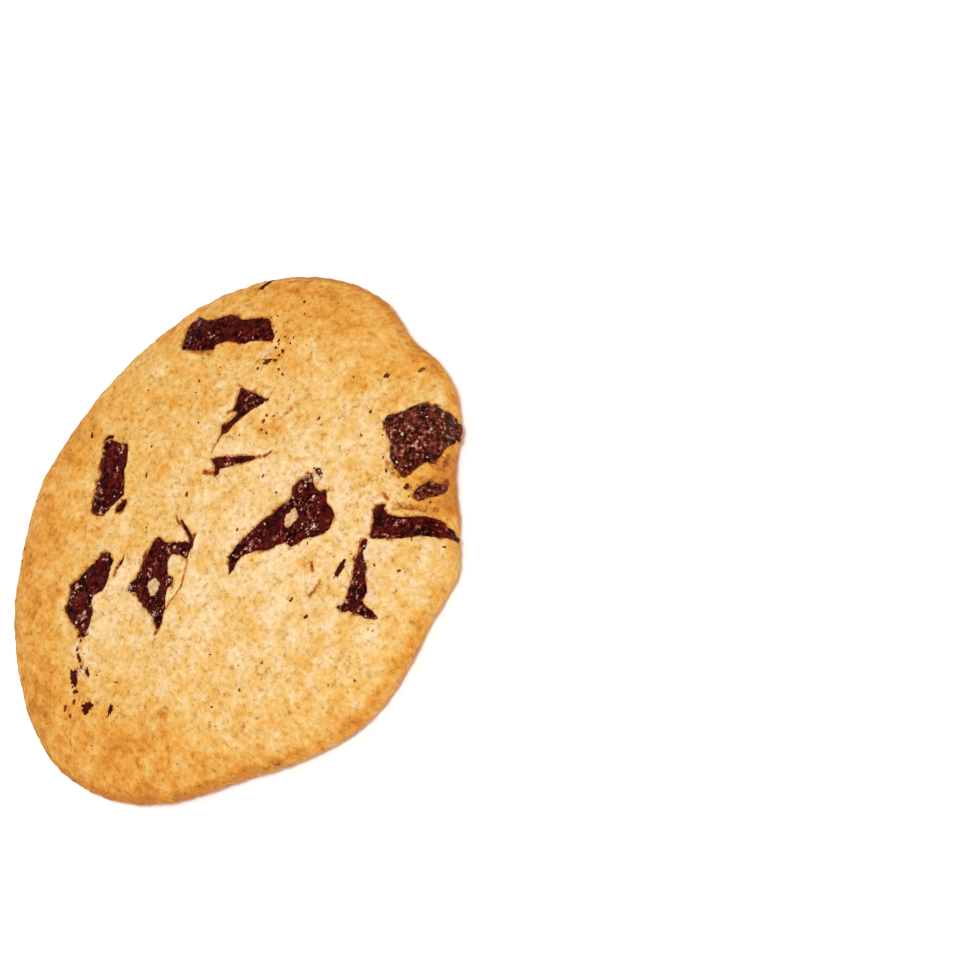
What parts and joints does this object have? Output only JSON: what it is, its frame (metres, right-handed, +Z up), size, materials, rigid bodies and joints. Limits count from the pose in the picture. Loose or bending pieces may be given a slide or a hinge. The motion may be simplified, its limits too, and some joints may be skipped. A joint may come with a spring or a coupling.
{
  "type": "chocolate chip cookie",
  "caption": "Flat round baked cookie with an uneven edge, a low domed top and broken dark chocolate chunks sunk in it; lies on its flat underside.",
  "frame": {"origin": "under the middle of the outline's box, on the flat underside", "axes": "+Z up through the thickness, out of the side with the chocolate; -Y towards the edge with the two long chunks"},
  "size_m": [0.092, 0.091, 0.0082],
  "materials": {
    "dough": "baked, dry and finely grained, golden at the edge",
    "chocolate": "melted and set again, satin with small bright spots"
  },
  "bodies": {
    "root": {"dough": "dough", "chunk_bar": "chocolate", "chunk_hook": "chocolate", "chunk_wedge": "chocolate", "chunk_slab": "chocolate", "chunk_leaf": "chocolate", "chunk_kite": "chocolate", "chunk_shard": "chocolate", "chunk_lump": "chocolate", "chunk_stub": "chocolate", "chunk_band": "chocolate", "chunk_post": "chocolate"}
  },
  "joints": []
}
